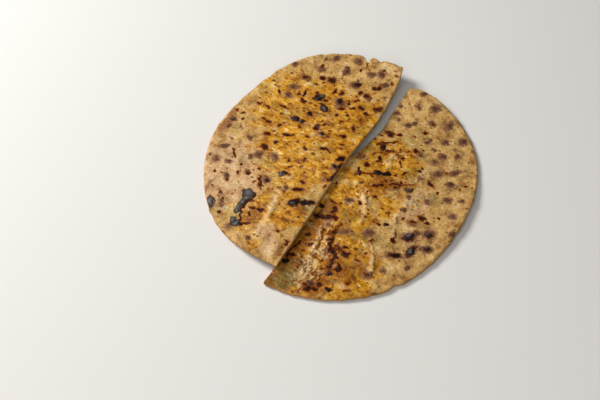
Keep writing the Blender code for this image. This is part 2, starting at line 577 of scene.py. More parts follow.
    def build(self) -> bpy.types.Object:
        """Models the half as one closed mesh.

        Returns:
            The half's object, with its looks as attributes and no material yet.
        """
        mesh = bmesh.new()
        for name in ("along", "out", "depth", "lip", "at_cut"):
            mesh.verts.layers.float.new(name)
        self.add_face(mesh, self.cells, upper=True)
        self.add_face(mesh, self.underside_cells, upper=False)
        self.add_wall(mesh)
        bmesh.ops.recalc_face_normals(mesh, faces=mesh.faces[:])
        data = bpy.data.meshes.new(self.name)
        mesh.to_mesh(data)
        mesh.free()
        data.shade_smooth()
        data.set_sharp_from_angle(angle=math.radians(55))
        self.paint(data)
        piece = bpy.data.objects.new(self.name, data)
        bpy.context.scene.collection.objects.link(piece)
        return piece

    def dress(self, piece: bpy.types.Object, crust: bpy.types.Material) -> None:
        """Gives the half its crust and ties it to the frame.

        Args:
            piece: The half's object.
            crust: The crust's material.
        """
        piece.data.materials.append(crust)
        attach(piece, "root")
        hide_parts(self.node)

    def paint(self, data: bpy.types.Mesh) -> None:
        """Works out each look at each vertex and keeps it as an attribute.

        Args:
            data: The half's mesh, which has the numbers that add_face and add_wall store.
        """
        names = ("along", "out", "depth", "at_cut")
        u, w, depth, at_cut = (self.column(data, name) for name in names)
        for look, share in self.looks(u, w, depth, at_cut).items():
            attribute = data.attributes.new(look.value, "FLOAT", "POINT")
            attribute.data.foreach_set("value", share.astype(np.float32))
        for name in (*names, "lip"):
            data.attributes.remove(data.attributes[name])

    def column(self, data: bpy.types.Mesh, name: str) -> Field:
        """Reads one of a mesh's attributes.

        Args:
            data: The mesh.
            name: The attribute's name.

        Returns:
            Its number for each vertex.
        """
        values = np.zeros(len(data.vertices), np.float32)
        data.attributes[name].data.foreach_get("value", values)
        return values.astype(float)

    def looks(self, u: Field, w: Field, depth: Field, at_cut: Field) -> dict[Look, Field]:
        """Works out how much of each look every vertex has.

        Args:
            u: Places along the cut.
            w: Places out from it.
            depth: 0 on the upper face, 1 on the lower one, and between them on the wall.
            at_cut: 1 on the wall of the cut, and 0 elsewhere.

        Returns:
            A number for each look and vertex.
        """
        on_top = ramp(depth, 0.5, 0.0)
        mark_u, mark_w = self.warped(u, w)
        shares = {look: self.wash(look, u, w) * on_top for look in self.washes}
        wrinkles = self.wrinkles(u, w)
        # The crests of the folds and of the butter's wrinkles get the cream, partly a painted
        # highlight; the wrinkles' hollows get the amber, partly painted shade.
        crests = sum((fold.crest(mark_u, mark_w) for fold in self.folds), 0 * u) * on_top
        hollows = shares[Look.BUTTER] * ramp(wrinkles, 0.1, -0.7)
        shares[Look.AMBER] = np.maximum(shares[Look.AMBER], hollows)
        shares[Look.BUTTER] = shares[Look.BUTTER] * ramp(wrinkles, -0.1, 0.8)
        shares[Look.BUTTER] = np.maximum(shares[Look.BUTTER], 0.9 * crests)
        for look, marks in self.marks.items():
            reach = nearest_reach(marks, mark_u, mark_w)
            shares[look] = np.minimum(reach + 3.0 * (1.0 - on_top), NO_MARK)
        wall = ramp(depth, 0.0, 0.2) * ramp(depth, 1.0, 0.8)
        shares[Look.CRUMB] = wall * at_cut
        shares[Look.RIM] = wall * (1.0 - at_cut)
        shares[Look.UNDER] = ramp(depth, 0.6, 1.0)
        return shares


class Kind(Enum):
    """The kinds of node that the materials use, each with Blender's name for it and its settings."""

    PLACE = ("ShaderNodeTexCoord", {})
    TURN = ("ShaderNodeMapping", {})
    LOOK = ("ShaderNodeAttribute", {})
    NOISE = ("ShaderNodeTexNoise", {})
    CELLS = ("ShaderNodeTexVoronoi", {"voronoi_dimensions": "2D"})
    SHADES = ("ShaderNodeValToRGB", {})
    SPAN = ("ShaderNodeMapRange", {})  # a value, the two that it lies between, and what they become
    FADE = ("ShaderNodeMapRange", {"interpolation_type": "SMOOTHSTEP"})  # the same, as a smooth rise
    SUM = ("ShaderNodeMath", {"operation": "ADD"})
    DIFFERENCE = ("ShaderNodeMath", {"operation": "SUBTRACT"})
    PRODUCT = ("ShaderNodeMath", {"operation": "MULTIPLY"})
    QUOTIENT = ("ShaderNodeMath", {"operation": "DIVIDE"})
    WEIGHED = ("ShaderNodeMath", {"operation": "MULTIPLY_ADD"})  # a pattern, its weight, the rest
    LEAST = ("ShaderNodeMath", {"operation": "MINIMUM"})
    MOST = ("ShaderNodeMath", {"operation": "MAXIMUM"})
    SHIFT = ("ShaderNodeVectorMath", {"operation": "MULTIPLY_ADD"})
    COAT = ("ShaderNodeMix", {"data_type": "RGBA"})
    SPLIT = ("ShaderNodeSeparateColor", {})
    RELIEF = ("ShaderNodeBump", {})


class Graph:
    """A material's nodes, with one small way to add to them."""

    def __init__(self, name: str) -> None:
        """Starts a material with nothing but its shader and output.

        Args:
            name: The material's name.
        """
        self.material = bpy.data.materials.new(name)
        self.material.use_nodes = True
        self.tree = self.material.node_tree
        self.shader = self.tree.nodes["Principled BSDF"]

    def add(
        self, kind: Kind, sockets: dict | tuple, shades: tuple = (), **settings: object
    ) -> bpy.types.Node:
        """Adds a node with its settings and links.

        Args:
            kind: The kind of node.
            sockets: Its inputs, as link takes them.
            shades: For a colour ramp, each of its places and the sRGB colour there.
            **settings: The node's own settings, besides those of its kind.

        Returns:
            The new node.
        """
        blender_name, kept = kind.value
        made = self.tree.nodes.new(blender_name)
        for name, value in (kept | settings).items():
            setattr(made, name, value)
        self.link(made, sockets)
        for _ in shades[2:]:
            made.color_ramp.elements.new(0.999)
        for element, (place, colour) in zip(made.color_ramp.elements if shades else (), shades):
            element.position = place
            element.color = linear(colour)
        return made

    def link(self, node: bpy.types.Node, sockets: dict | tuple) -> None:
        """Links or sets some of a node's inputs.

        Args:
            node: The node.
            sockets: For each input, by name or in order, its value or what is linked to it, where a
                node stands for its first output.
        """
        if isinstance(sockets, tuple):
            sockets = dict(enumerate(sockets))
        for key, value in sockets.items():
            named = (each for each in node.inputs if each.enabled and each.name == key)
            target = node.inputs[key] if isinstance(key, int) else next(named)
            if isinstance(value, bpy.types.Node):
                value = next(each for each in value.outputs if each.enabled)
            if isinstance(value, bpy.types.NodeSocket):
                self.tree.links.new(value, target)
            else:
                target.default_value = value


@dataclass(frozen=True)
class Grain:
    """A noise pattern: the size of its features in millimetres, and how much fine detail it has."""

    size: float
    detail: float
    roughness: float

    def sockets(self) -> dict:
        """What a noise node's inputs take for the pattern."""
        return {"Scale": 1 / self.size, "Detail": self.detail, "Roughness": self.roughness}


@dataclass(frozen=True)
class GriddledMillet:
    """Millet dough baked on an iron griddle and brushed with ghee.

    The dry crust is tan and mealy, with bran and chopped herbs in it. Ghee turns it golden and glossy
    and browns in the hollows, where the amber is partly painted shade, and its palest cream is partly a
    painted highlight. The colours are sRGB, and the sizes are in millimetres.
    """

    dry_shades: tuple = ((0.34, "#7E592C"), (0.45, "#AE864D"), (0.55, "#C99F5C"), (0.67, "#E5C58E"))
    pale_shades: tuple = ((0.34, "#9C734A"), (0.46, "#BF976A"), (0.56, "#D1AA7A"), (0.68, "#E8CDA2"))
    # The cream at the pale end of the ghee's shades is partly a painted highlight on the glossy crust.
    ghee_and_highlight_shades: tuple = (
        (0.33, "#5A2F03"), (0.41, "#A3690D"), (0.49, "#C38718"), (0.57, "#D59F37"), (0.665, "#ECCF94"),
    )
    char_shades: tuple = ((0.0, "#120A08"), (0.36, "#1F0C05"), (0.5, "#3A1804"), (0.7, "#7E4310"))
    brown_shades: tuple = ((0.0, "#210B02"), (0.4, "#3A1503"), (0.54, "#6E3407"), (0.78, "#A0600F"))
    fried_shades: tuple = ((0.0, "#3F1C08"), (0.4, "#5E300C"), (0.56, "#8A4F14"), (0.78, "#B67A2A"))
    soft_shades: tuple = ((0.0, "#2F1710"), (0.25, "#4C2A1C"), (0.45, "#6B4430"), (0.7, "#936A48"))
    # The slate's grey middle is ash, and over a charred blister a painted bluish sheen.
    slate_and_sheen_shades: tuple = ((0.0, "#65686C"), (0.3, "#414347"), (0.48, "#1C120D"), (0.7, "#4B280D"))
    # The amber multiplies the crust darker, and it is partly painted shade.
    amber: str = "#946D39"
    rust: str = "#A5620F"
    olive: str = "#6C6028"
    # The cream is dried butter, and on the crests of its wrinkles and of the folds partly a painted
    # highlight.
    cream: str = "#E6C692"
    toast: str = "#8E5936"
    crumb: str = "#CFA468"
    rim: str = "#A8743E"
    bran: str = "#6A3F1A"
    crazing: str = "#7F6138"
    herb: str = "#433D1E"

    meal: Grain = Grain(1.2, 3.0, 0.6)  # the grit of the flour
    mottle: Grain = Grain(8.0, 5.0, 0.66)  # uneven baking
    smear: Grain = Grain(5.0, 5.0, 0.68)  # ghee drawn out by the brush
    broad: Grain = Grain(17.0, 3.0, 0.55)  # where the herbs are
    ragged: Grain = Grain(1.6, 4.0, 0.7)  # the edges of the marks
    wobble: Grain = Grain(2.4, 3.0, 0.5)  # what shifts the other patterns a little
    wobble_reach: float = 2.6
    smear_draw: float = 0.62  # how much slower a pattern changes away from the cut
    ragged_draw: float = 0.55
    crazing_cell: float = 3.4
    # Fried spots: a cell's two sides, the share of bare cells, and a spot's size on dry crust.
    fried_cells: tuple = ((6.0, 9.0, 0.66, 0.5), (2.8, 4.2, 0.55, 0.6))
    touch_cell: float = 13.0
    coat_roughness: float = 0.22  # wiped ghee, not wet
    coat_ior: float = 1.46  # ghee
    specular: float = 0.12  # dry, floury crust
    bump_height: float = 0.5

    def material(self) -> bpy.types.Material:
        """Builds the crust's material, layer over layer.

        Returns:
            The finished material.
        """
        crust = Crust(self)
        crust.lay_dough()
        crust.lay_stains()
        crust.lay_washes()
        crust.lay_crazing()
        crust.lay_rings()
        crust.lay_marks()
        crust.lay_flecks()
        crust.lay_edges()
        crust.gloss()
        return crust.graph.material


class Crust:
    """The crust's material while its layers go on, each over the ones before it."""

    def __init__(self, finish: GriddledMillet) -> None:
        """Starts the material with the patterns that its layers share.

        Args:
            finish: The crust's colours and sizes.
        """
        self.finish = finish
        self.graph = Graph("griddled_millet_crust")
        self.add = self.graph.add
        place = self.add(Kind.PLACE, {}).outputs["Object"]
        square = {"Rotation": (0.0, 0.0, math.radians(-60)), "Scale": (1 / MM, 1 / MM, 1 / MM)}
        plan = self.add(Kind.TURN, {"Vector": place, **square})
        self.look = {
            each: self.add(Kind.LOOK, {}, attribute_name=each.value).outputs["Fac"] for each in Look
        }
        wobble = self.add(Kind.NOISE, {"Vector": plan, **finish.wobble.sockets()})
        reach = (finish.wobble_reach, finish.wobble_reach, 0.0)
        self.wobbled = self.add(Kind.SHIFT, (wobble.outputs["Color"], reach, plan))
        stroke = (1.0, finish.smear_draw, 1.0)
        stroked = self.add(Kind.TURN, {"Vector": self.wobbled, "Scale": stroke})
        drawn = self.add(Kind.TURN, {"Vector": plan, "Scale": (1.0, finish.ragged_draw, 1.0)})
        self.meal, self.mottle, self.smear, self.broad, self.ragged = (
            self.add(Kind.NOISE, {"Vector": places, **grain.sockets()})
            for places, grain in (
                (plan, finish.meal),
                (plan, finish.mottle),
                (stroked, finish.smear),
                (plan, finish.broad),
                (drawn, finish.ragged),
            )
        )

        # Where the ghee soaked in, with an edge that follows the mottling.
        soaked = self.add(Kind.WEIGHED, (self.mottle, 0.9, self.look[Look.GHEE]))
        self.wet = self.add(Kind.FADE, (soaked, 0.5, 1.4))
        self.colour = self.add(Kind.SHADES, {"Fac": self.mottle}, finish.dry_shades)
        self.marked = 0.0

    def lay(self, share: Input, colour: Input | str, blend: str = "MIX") -> None:
        """Lays a colour over the crust so far.

        Args:
            share: How much of the colour each place gets.
            colour: An sRGB colour, or what gives a colour for each place.
            blend: Blender's name for the way that the two mix.
        """
        if isinstance(colour, str):
            colour = linear(colour)
        sockets = {"Factor": share, "A": self.colour, "B": colour}
        self.colour = self.add(Kind.COAT, sockets, blend_type=blend)

    def spots(
        self,
        cell: tuple[float, float],
        chance: str,
        bare: float,
        radii: tuple[float, float],
        layer: float = 0.0,
        swell: Input = 1.0,
    ) -> bpy.types.Node:
        """Scatters spots over the crust, one to a cell at most.

        Args:
            cell: The sides of a cell, in millimetres.
            chance: Which of a cell's random numbers gives the size of its spot.
            bare: The share of the cells whose spot is too small to show.
            radii: The least and the largest radius, as shares of a cell.
            layer: A number that sets one pattern apart from another.
            swell: What each radius is multiplied by.

        Returns:
            Distance from the nearest spot's middle, as a share of its radius.
        """
        grid = {"Scale": (1 / cell[0], 1 / cell[1], 1.0), "Location": (layer, 0.0, 0.0)}
        grid = self.add(Kind.TURN, {"Vector": self.wobbled, **grid})
        cells = self.add(Kind.CELLS, {"Vector": grid, "Scale": 1.0})
        drawn = self.add(Kind.SPLIT, {"Color": cells.outputs["Color"]}).outputs[chance]
        radius = self.add(Kind.SPAN, (drawn, bare, 1.0, *radii))
        radius = self.add(Kind.PRODUCT, (radius, swell))
        return self.add(Kind.QUOTIENT, (cells.outputs["Distance"], radius))

    def lay_dough(self) -> None:
        """Lays the floury skin and the soaked crust over the dry one."""
        floury = self.add(Kind.WEIGHED, (self.meal, 0.5, self.look[Look.PALE]))
        floury = self.add(Kind.FADE, (floury, 0.45, 1.05))
        self.lay(floury, self.add(Kind.SHADES, {"Fac": self.mottle}, self.finish.pale_shades))
        # The soaked crust's palest cream is partly a painted highlight.
        self.lay(self.wet, self.add(Kind.SHADES, {"Fac": self.smear}, self.finish.ghee_and_highlight_shades))

    def lay_stains(self) -> None:
        """Lays faint stains of herbs and of browned ghee all over."""
        self.lay(self.add(Kind.FADE, (self.broad, 0.52, 0.68, 0.0, 0.4)), self.finish.olive)
        self.lay(self.add(Kind.FADE, (self.smear, 0.46, 0.36, 0.0, 0.35)), self.finish.rust)

    def lay_washes(self) -> None:
        """Lays the broad looks, with edges that follow the smears and the mottling. The amber darkens
        by multiplying and is partly painted shade, and the cream is partly a painted highlight.
        """
        for look, colour, share, blend in (
            (Look.AMBER, self.finish.amber, 0.8, "MULTIPLY"),
            (Look.BUTTER, self.finish.cream, 0.55, "MIX"),
            (Look.TOAST, self.finish.toast, 0.85, "MIX"),
            (Look.HERB, self.finish.olive, 0.65, "MIX"),
        ):
            where = self.add(Kind.WEIGHED, (self.smear, 1.8, self.look[look]))
            where = self.add(Kind.WEIGHED, (self.mottle, 1.6, where))
            self.lay(self.add(Kind.FADE, (where, 1.8, 2.7, 0.0, share)), colour, blend)

    def lay_crazing(self) -> None:
        """Lays the fine crazing of the floury skin, in patches."""
        cells = {"Vector": self.wobbled, "Scale": 1 / self.finish.crazing_cell}
        cells = self.add(Kind.CELLS, cells, feature="DISTANCE_TO_EDGE")
        crazed = self.add(Kind.FADE, (cells, 0.07, 0.015, 0.0, 0.4))
        patch = self.add(Kind.SPAN, (self.mottle, 0.5, 0.58))
        self.lay(self.add(Kind.PRODUCT, (crazed, patch)), self.finish.crazing)

    def lay_rings(self) -> None:
        """Lays the rust-coloured ring that the fat leaves round each fried mark."""
        ring = self.add(Kind.LEAST, (self.look[Look.BROWN], self.look[Look.CHAR]))
        ring = self.add(Kind.WEIGHED, (self.smear, -3.0, ring))
        ring = self.add(Kind.FADE, (ring, 1.5, -0.3, 0.0, 0.5))
        self.lay(self.add(Kind.PRODUCT, (ring, self.wet)), self.finish.rust)

    def fried(self) -> bpy.types.Node:
        """Scatters small fried spots, larger where the ghee fried the crust.

        Returns:
            Distance from the nearest spot's middle, as a share of its radius.
        """
        nearest = NO_MARK
        for cell_u, cell_w, bare, dry in self.finish.fried_cells:
            swell = self.add(Kind.SPAN, (self.wet, 0.0, 1.0, dry, 1.0))
            spots = self.spots((cell_u, cell_w), "Red", bare, (0.003, 0.2), swell=swell)
            nearest = self.add(Kind.LEAST, (nearest, spots))
        return nearest

    def touched(self) -> bpy.types.Node:
        """Scatters spots over the lower face, where it touched the iron.

        Returns:
            Distance from the nearest spot's middle, as a share of its radius.
        """
        cell = (self.finish.touch_cell, self.finish.touch_cell)
        spots = self.spots(cell, "Blue", 0.2, (0.03, 0.26))
        apart = self.add(Kind.SPAN, (self.look[Look.UNDER], 0.0, 1.0, NO_MARK, 0.0))
        return self.add(Kind.SUM, (spots, apart))

    def lay_marks(self) -> None:
        """Lays the marks of the griddle, the faintest first.

        Each has its shades from the middle out, how uneven its edge is, the distances where it
        starts to show and shows most, and the share that it shows there.
        """
        finish, look = self.finish, self.look
        for field, shades, uneven, outer, inner, share in (
            (self.touched(), finish.soft_shades, 1.5, 1.65, 0.95, 0.95),
            (look[Look.SOFT], finish.soft_shades, 1.5, 1.72, 1.0, 0.93),
            (self.fried(), finish.fried_shades, 1.5, 2.0, 1.05, 0.88),
            (look[Look.BROWN], finish.brown_shades, 1.5, 1.8, 1.05, 1.0),
            (look[Look.CHAR], finish.char_shades, 1.4, 1.45, 1.05, 1.0),
            # The slate goes on last, so that over a charred blister its grey paints a bluish sheen on
            # the black.
            (look[Look.SLATE], finish.slate_and_sheen_shades, 1.8, 1.5, 1.0, 0.95),
        ):
            reach = self.add(Kind.DIFFERENCE, (self.ragged, 0.5))
            reach = self.add(Kind.WEIGHED, (reach, uneven, field))
            tone = self.add(Kind.SPAN, (reach, 0.0, 2.0))
            mask = self.add(Kind.FADE, (reach, outer, inner, 0.0, share))
            self.lay(mask, self.add(Kind.SHADES, {"Fac": tone}, shades))
            self.marked = self.add(Kind.MOST, (self.marked, mask))

    def lay_flecks(self) -> None:
        """Lays bran and chopped herbs, drawn a little coarser than real so that they show."""
        for colour, cell, largest, bare, layer in (
            (self.finish.bran, 2.4, 0.15, 0.5, 3.0),
            (self.finish.herb, 5.5, 0.16, 0.7, 9.0),
        ):
            fleck = self.spots((cell, cell), "Green", bare, (0.002, largest), layer)
            self.lay(self.add(Kind.FADE, (fleck, 1.2, 0.7, 0.0, 0.8)), colour)

    def lay_edges(self) -> None:
        """Lays the grit of the meal over all, and the colours of the cut and the rim."""
        self.lay(0.8, self.add(Kind.SPAN, (self.meal, 0.3, 0.7, 0.36, 0.62)), "OVERLAY")
        for look, colour in ((Look.CRUMB, self.finish.crumb), (Look.RIM, self.finish.rim)):
            where = self.add(Kind.PRODUCT, (self.look[look], self.mottle))
            self.lay(self.add(Kind.SPAN, (where, 0.1, 0.45)), colour)

    def gloss(self) -> None:
        """Gives the crust its sheen, a film of ghee where it is wet, and its fine bumps."""
        rough = self.add(Kind.SPAN, (self.wet, 0.0, 1.0, 0.7, 0.4))
        film = self.add(Kind.SPAN, (self.marked, 0.0, 1.0, 0.4, 0.04))
        film = self.add(Kind.PRODUCT, (self.wet, film))
        bumps = self.add(Kind.SUM, (self.meal, self.smear))
        height = self.finish.bump_height * MM
        bump = self.add(Kind.RELIEF, {"Height": bumps, "Distance": height, "Strength": 0.8})
        self.graph.link(
            self.graph.shader,
            {
                "Base Color": self.colour,
                "Roughness": rough,
                "Normal": bump,
                "Specular IOR Level": self.finish.specular,
                "Coat Weight": film,
                "Coat Roughness": self.finish.coat_roughness,
                "Coat IOR": self.finish.coat_ior,
                "Coat Normal": bump,
            },
        )


LEFT = ChapatiHalf(
    name="buttered_left_half",
    node="left_half",
    side=Side.LEFT,
    middle=(3.3 * MM, 2.7 * MM),
    cut_direction=math.radians(61.9),
    outline=(99.0, 1.6, 1.8, -0.8, -1.6, -1.1, -1.1),
    seed=11.0,
    cut_bends=(CutBend(45, 32, -3.2), CutBend(102, 12, 3.4)),
    lifts=(
        Bell(0, 0, 250, 46, 4.8), Bell(10, 0, 48, 45, 2.8), Bell(-95, 0, 45, 40, 1.0),
        Bell(112, 20, 42, 60, 6.0), Bell(72, 84, 46, 34, 6.2),
    ),
    notches=(Notch(16.9, 1.3, 5.0), Notch(11.2, 1.3, 2.4)),
    folds=(
        Fold(0.55, 3.0, ((-40, 27), (-54, 26.6), (-67, 24), (-80, 24))),
        Fold(-1.0, 0.7, ((96, 30), (90, 27), (84, 25))),
    ),
    marks={
        Look.SOFT: (
            *scorches(
                (84, 13.5, 2.5, 1.4, 49), (84.3, 50.5, 2.4, 1.2, 10), (76, 37.5, 2.8, 1.1, 20),
                (80, 39, 1.5), (73.3, 38, 1.9), (75, 7.5, 2.5, 1.2, 130), (67.3, 26.2, 3.1, 1.2, 120),
                (71, 26.3, 1.2), (64, 44.3, 2.6, 1.2, 60), (57.8, 61.3, 2.5, 1.3, 100),
                (59.2, 11.3, 1.9), (46.5, 28, 3.5, 1.4, 50), (-20, 57.3, 2.7, 1.2),
                (-23.3, 82.7, 2.2, 1.5, 130), (-46.3, 67, 1.6, 2.3, 35), (-38, 40.7, 2.5, 1.3, 60),
                (-22, 4, 1.8, 1.4), (-10, 3, 2.4, 1.3, 60), (-43.5, 4, 2.4, 1.2, 110),
                (-87.3, 27.3, 1.5, 1.3), (-8.7, 70.3, 1.4, 2.5, 52), (1.3, 89.7, 2.1),
            ),
            *scorches(
                (88.7, 34, 2.8, 1.3, 60), (80.7, 20, 2.6, 1.4, 100), (70.8, 55, 2.7), (64.7, 74, 2.2),
                (46.3, 65, 2.2, 1.5, 120), (38, 65.3, 2.4, 1.2), (-6, 88.7, 2.0),
                (-23, 61, 1.4, 1.6, 0), (-34, 72, 2.1), (-34.3, 87.3, 1.3), (-60.3, 63.7, 1.6),
                (-58, 72, 1.1), (-67, 59.3, 1.5), (-37, 56.5, 2.1), (-39.3, 25.3, 1.7),
                (80, 56.7, 1.3, 1.8, 0),
                faint=0.2,
            ),
            *scorches(
                (-36, 81.3, 2.5), (-83, 44, 2.8), (-70, 57.5, 2.6), (64.7, 2, 2.0),
                (-17, 46, 2.6, 1.5, 45),
                faint=0.5,
            ),
        ),
        Look.BROWN: (
            *scorches(
                (87.7, 13.3, 0.9), (81.5, 29, 0.8, 2.0, 50), (73.3, 56, 1.1, 1.4, 20),
                (71.3, 9.5, 1.8, 1.2, 130), (69.8, 12.2, 1.4), (64.2, 43.5, 2.2, 1.3, 60),
                (63.3, 50.8, 1.6, 1.3), (61.7, 19, 1.4), (60.8, 13.8, 2.0, 1.2, 60),
                (57.6, 61.8, 1.4, 1.4, 120), (56.3, 31.7, 1.7, 1.3, 0), (55.7, 36.7, 1.2, 1.7, 0),
                (55, 17.7, 1.0, 1.5, 50), (53.3, 19.3, 1.0, 1.3), (52.5, 1.5, 2.1, 1.3, 110),
                (48.2, 12.2, 1.3, 2.0, 65), (44.4, 6.7, 1.3, 1.3, 60), (46, 17.3, 1.0, 1.6, 130),
                (42.7, 24.3, 1.6, 1.3, 80), (45, 38.7, 1.1, 1.2), (48.4, 47.3, 1.2),
                (42, 58.7, 1.0, 1.4, 40), (37.2, 52.4, 1.5, 1.2), (39, 54, 1.1, 1.5, 60),
                (37.7, 17.8, 1.0, 1.4, 60), (37.5, 71.8, 0.8, 2.8, 40), (35, 24.7, 1.3),
                (30.8, 18.8, 1.2, 1.2), (27.7, 8, 1.4, 1.7, 35), (26.8, 62.7, 1.1, 2.7, 82),
                (22, 72.3, 0.9, 2.1, 90), (22, 80.3, 1.0, 1.3), (23.7, 78.6, 0.7),
                (23.3, 28.4, 0.8, 1.8, 120), (24, 25.8, 0.8), (25.3, 31.3, 0.7), (21.3, 32.6, 0.9),
                (18.8, 32.3, 1.8, 1.2, 20), (18, 10.7, 1.3, 1.2), (17.5, 12.9, 0.7, 1.5),
                (10.7, 8, 1.2, 1.4, 90), (10.3, 66, 1.2, 1.6, 90), (10.7, 70, 1.0, 1.7, 90),
                (10.7, 57.2, 1.3), (8.3, 34.2, 0.9, 2.2, 85), (4, 49, 1.1, 1.7, 90), (4.7, 83.3, 0.9),
                (-0.3, 61, 1.7, 1.3, 90), (-2.5, 30.3, 1.0, 2.0, 65), (-5.3, 51.8, 1.2, 1.3, 110),
                (-12, 25.7, 1.0, 1.5, 50), (-16.7, 35.3, 1.0, 1.2), (-11.9, 56.6, 2.0, 1.4, 50),
                (-22, 31.8, 0.7, 1.8, 130), (-30.3, 17.2, 1.4, 1.3), (-38, 55.3, 1.2, 1.2),
                (-37, 17, 1.6, 2.2, 118), (-39.4, 62, 0.9, 1.3), (-45.7, 76.7, 0.9),
                (-49, 65.3, 0.8, 1.4, 30), (-32.3, 63.3, 1.0), (-63, 31.5, 1.3, 2.0, 95),
                (-63.8, 36.8, 1.6, 1.3), (-69, 36.6, 1.0, 2.0, 10), (-76.6, 34.6, 1.4, 1.5, 110),
                (-78.7, 3, 1.4, 1.2), (-81, 2.3, 1.0), (-75.7, 55.3, 1.3), (-64.7, 59, 0.9),
            ),
            *scorches(
                (79.3, 3, 0.9, 2.2, 40), (60, 47.7, 1.0), (57.7, 21, 0.8), (57, 44.7, 0.8),
                (43, 34.7, 0.7), (38, 7, 1.7, 1.2, 30), (35.3, 15.2, 0.8, 1.7, 30), (28, 18.3, 1.1),
                (25.7, 13, 0.8, 2.2, 90), (32, 48.8, 0.9, 1.5, 40), (15, 43.7, 1.1, 1.3, 60),
                (16.3, 21.3, 0.8, 1.6, 50), (15, 8.3, 0.9), (14, 79.7, 0.8), (9.3, 86.3, 1.3, 1.3, 100),
                (10, 91, 1.3, 1.2), (6.3, 74, 0.8), (4, 58, 0.8), (4, 60, 0.7), (-12.7, 8.3, 0.9),
                (-14.7, 81.3, 0.7, 2.0, 30), (-16, 39, 0.8), (-27, 2, 1.1, 1.2),
                (-27.6, 28.6, 0.9, 2.0, 80), (-25.4, 17, 0.8, 1.8), (-22.5, 19.8, 0.7, 1.8, 30),
                (-30.7, 50, 0.9, 1.4), (-27.3, 58, 0.8), (-42.7, 47.4, 1.3, 1.2, 20),
                (-42.7, 24.7, 0.9, 1.4), (-57.7, 5.7, 1.0), (-63.3, 7.3, 0.8, 1.4), (-74, 12, 1.3, 1.2),
                (-82.7, 24.7, 0.9), (-84.5, 3.5, 1.1), (-58, 56, 0.6), (-18.5, 50, 0.7),
                (-22.1, 2.6, 1.4, 1.6, 120), (-10.8, 2.6, 1.2, 1.2, 0),
                faint=0.6,
            ),
            *scorches(
                (87, 3, 1.5, 1.3), (86.5, 32, 1.4, 1.3, 60), (92.3, 39, 0.8), (66, 34, 0.8, 2.0, 40),
                (65.7, 10.3, 1.2, 1.4, 20), (70, 38, 0.8), (55, 5.3, 1.3, 1.2, 40), (45, 3.3, 1.4),
                (35.2, 6, 1.5), (29.3, 53.3, 1.1, 1.3), (24.5, 42, 1.0), (17, 44.8, 1.0, 2.0, 30),
                (16, 67, 1.6, 1.2), (11.3, 23.3, 1.5, 1.2), (13.7, 1.3, 1.0), (6, 1.7, 1.3),
                (7.7, 63, 0.8), (23.3, 83.3, 0.9), (42.7, 67, 0.9), (41.3, 74.3, 1.0), (1.7, 33.7, 0.7),
                (-2.3, 80.7, 1.3), (-7, 14, 1.0), (-7, 57.3, 0.8, 2.2, 80), (-7.5, 44.7, 0.8),
                (-19.3, 8, 0.8), (-37.7, 61.7, 0.8, 1.6, 50), (-41, 60.5, 0.9, 1.8, 30),
                (-47.3, 57.3, 0.8, 1.8, 40), (-44.7, 36, 1.6, 1.4, 60), (-53, 4.5, 1.5, 1.7),
                (-52, 9.5, 1.3, 1.5), (-56.7, 13.3, 1.2, 1.5), (-64.5, 18, 1.3, 1.8),
                (-76, 8, 1.3, 1.6, 20), (-90, 2, 1.2), (-90.5, 25, 1.4, 1.8, 20),
                faint=1.0,
            ),
            Trail(0.9, ((0.7, 12.5), (2.3, 15.5), (2.4, 18), (1.5, 20.5))),
            Trail(1.3, ((-6, 1), (-10, 0.3), (-14.5, 0.4), (-20, 0.8)), 0.4),
            Trail(0.9, ((6.5, 43.5), (4.5, 47), (4, 50))),
            Trail(0.9, ((50.5, 23.5), (47.5, 21.5))),
            Trail(0.9, ((-43.5, 41), (-40, 44.5), (-36.3, 47.5)), 0.4),
            Trail(0.9, ((-47, 40), (-43, 43.5), (-39, 46.5)), 0.8),
            Trail(0.9, ((-29.3, 70.7), (-26, 73), (-23.3, 75.3)), 0.4),
            Trail(0.9, ((-51, 42), (-56, 41.6), (-60, 43.2), (-66, 43.4), (-71, 42), (-76, 39))),
            Trail(0.9, ((-59, 34), (-57.5, 39), (-59.5, 42)), 1.0),
            # Painted shade along the crack that runs in from the rim's notch.
            Trail(0.9, ((89.5, 27.4), (86, 25), (82, 22)), 1.1),
        ),
        Look.CHAR: (
            *scorches(
                (48.2, 29, 1.8, 1.5, 40), (45.4, 44.4, 2.8, 1.4, 130), (44.3, 55.2, 1.1, 2.5, 5),
                (37.2, 36, 2.3, 2.1, 50), (28.6, 43.2, 2.1), (20.3, 43.7, 1.4, 1.2),
                (20.4, 49.7, 1.7, 1.6, 90), (14.2, 25.7, 1.6, 1.3, 80), (-1.5, 2.8, 2.2, 1.2, 130),
                (-3, 5, 1.3), (-9.5, 4, 1.1, 1.7, 60), (-8, 0.8, 1.5, 1.5, 0),
                (-19.3, 0.9, 1.3, 1.6, 0), (-27.6, 32.3, 1.7, 1.5, 100), (-48.3, 14, 2.9, 1.6, 125),
                (-46, 9, 1.9, 1.6), (-43.6, 4.2, 1.8, 1.3), (-38.3, 40.3, 1.2, 1.6, 60),
                (-64, 36.6, 0.8), (-79, 37.8, 1.4, 1.5), (67.8, 24.4, 1.8, 1.3, 120),
                (71.1, 9.7, 1.1, 1.3, 130), (52.2, 1.4, 1.0, 1.4, 110),
            ),
            Trail(1.6, ((-44.5, 5), (-46, 10), (-47.5, 13))),
        ),
        # Grey ash, and where one sits on a charred blister, a painted bluish sheen on its black.
        Look.SLATE: scorches(
            (47.2, 42.6, 1.7, 1.3, 130), (37, 35.6, 1.3, 2.3, 50), (-29.4, 34, 1.6, 1.3, 120),
            (-49.2, 15, 1.0, 1.8, 125), (-52.9, 46.2, 3.3, 1.2, 70), (-57.2, 45.2, 2.5, 1.2, 0),
